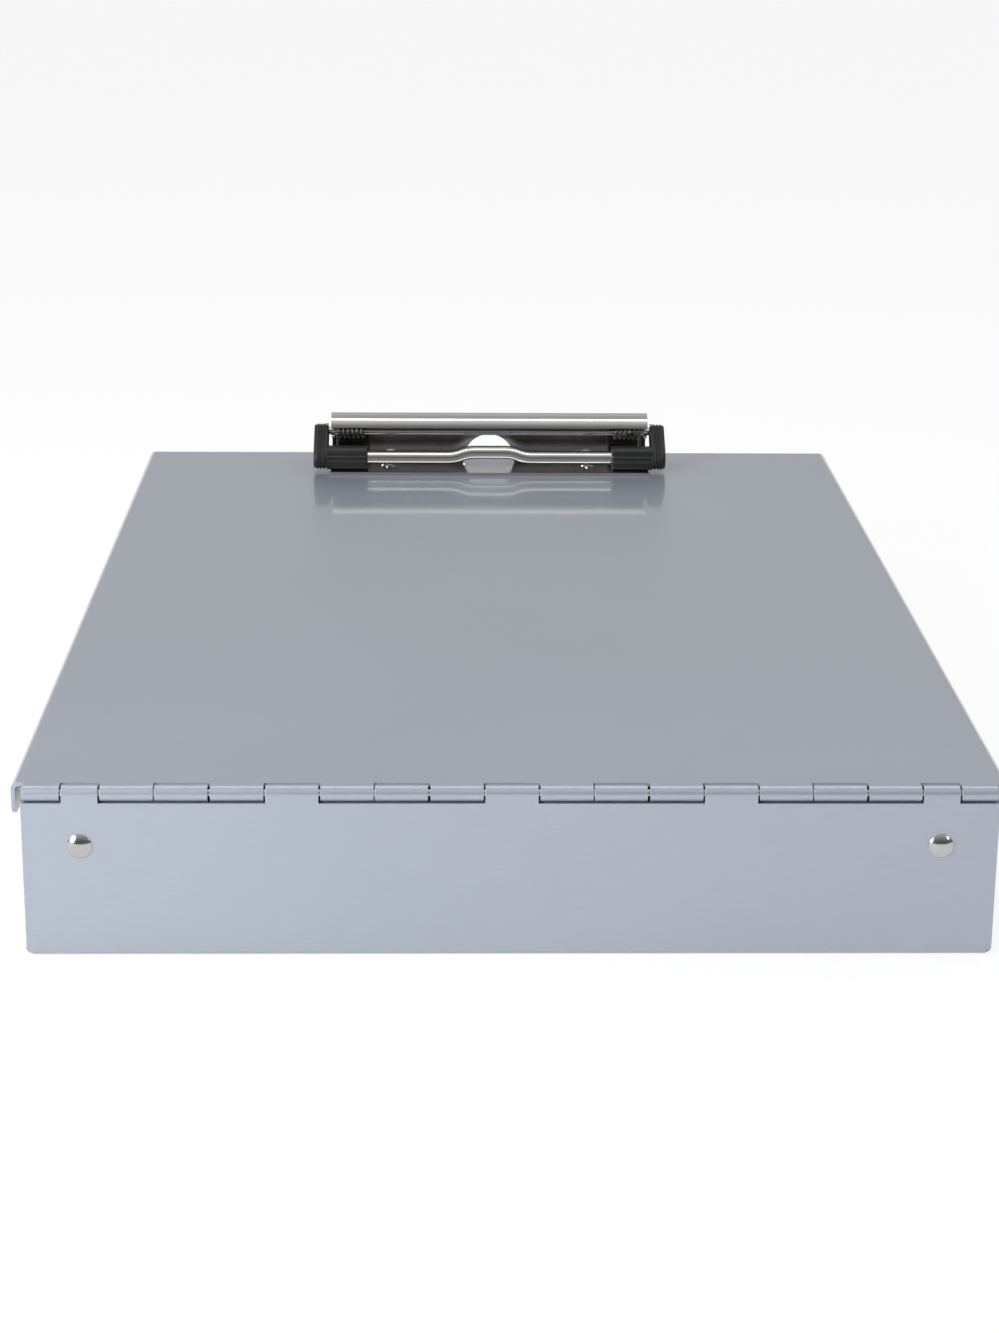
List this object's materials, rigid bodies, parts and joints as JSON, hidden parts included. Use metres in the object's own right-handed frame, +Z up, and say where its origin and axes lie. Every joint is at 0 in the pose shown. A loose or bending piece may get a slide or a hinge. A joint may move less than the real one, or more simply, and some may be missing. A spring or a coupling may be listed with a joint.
{
  "type": "storage clipboard box",
  "caption": "Folded aluminium storage clipboard box with a lower tray, a shallow inner tray and a writing lid on one hinge pin, and a sprung paper clip.",
  "frame": {"origin": "middle of the bottom of the whole object's box", "axes": "+X across the box to the right, +Y from the hinge at the front to the clip at the rear, +Z up"},
  "size_m": [0.2318, 0.3378, 0.0597],
  "materials": {
    "case_aluminium": "satin anodised",
    "bright_steel": "drawn wire",
    "rivet_nickel": "polished",
    "clip_nickel": "nickel plated",
    "grip_rubber": "moulded, satin",
    "spring_steel": "oil-tempered wire"
  },
  "bodies": {
    "lower_tray": {"lower_tray": "case_aluminium", "hinge_pin": "bright_steel", "front_rivet_left": "rivet_nickel", "front_rivet_right": "rivet_nickel", "rear_rivet_left": "rivet_nickel", "rear_rivet_right": "rivet_nickel"},
    "inner_tray": {"inner_tray": "case_aluminium"},
    "lid": {"lid": "case_aluminium", "clip_base": "clip_nickel", "clip_rivet_left": "rivet_nickel", "clip_rivet_right": "rivet_nickel", "clip_spring_left": "spring_steel", "clip_spring_right": "spring_steel"},
    "bail": {"clip_bail": "clip_nickel", "clip_pivot_rod": "bright_steel", "clip_grip_left": "grip_rubber", "clip_grip_right": "grip_rubber"}
  },
  "joints": [
    {"name": "inner_tray_hinge", "type": "hinge", "parent": "lower_tray", "child": "inner_tray", "pos_m": [0, -0.1657, 0.03995], "axis": [1, 0, 0], "range_deg": [0, 65]},
    {"name": "lid_hinge", "type": "hinge", "parent": "inner_tray", "child": "lid", "pos_m": [0, -0.1657, 0.03995], "axis": [1, 0, 0], "range_deg": [0, 100]},
    {"name": "clip_bail_hinge", "type": "hinge", "parent": "lid", "child": "bail", "pos_m": [0, 0.14945, 0.0535], "axis": [-1, 0, 0], "range_deg": [0, 80], "stiffness_Nm_per_rad": 0.12, "springref_deg": -85.94, "deforming": ["clip_spring_left", "clip_spring_right"]}
  ]
}
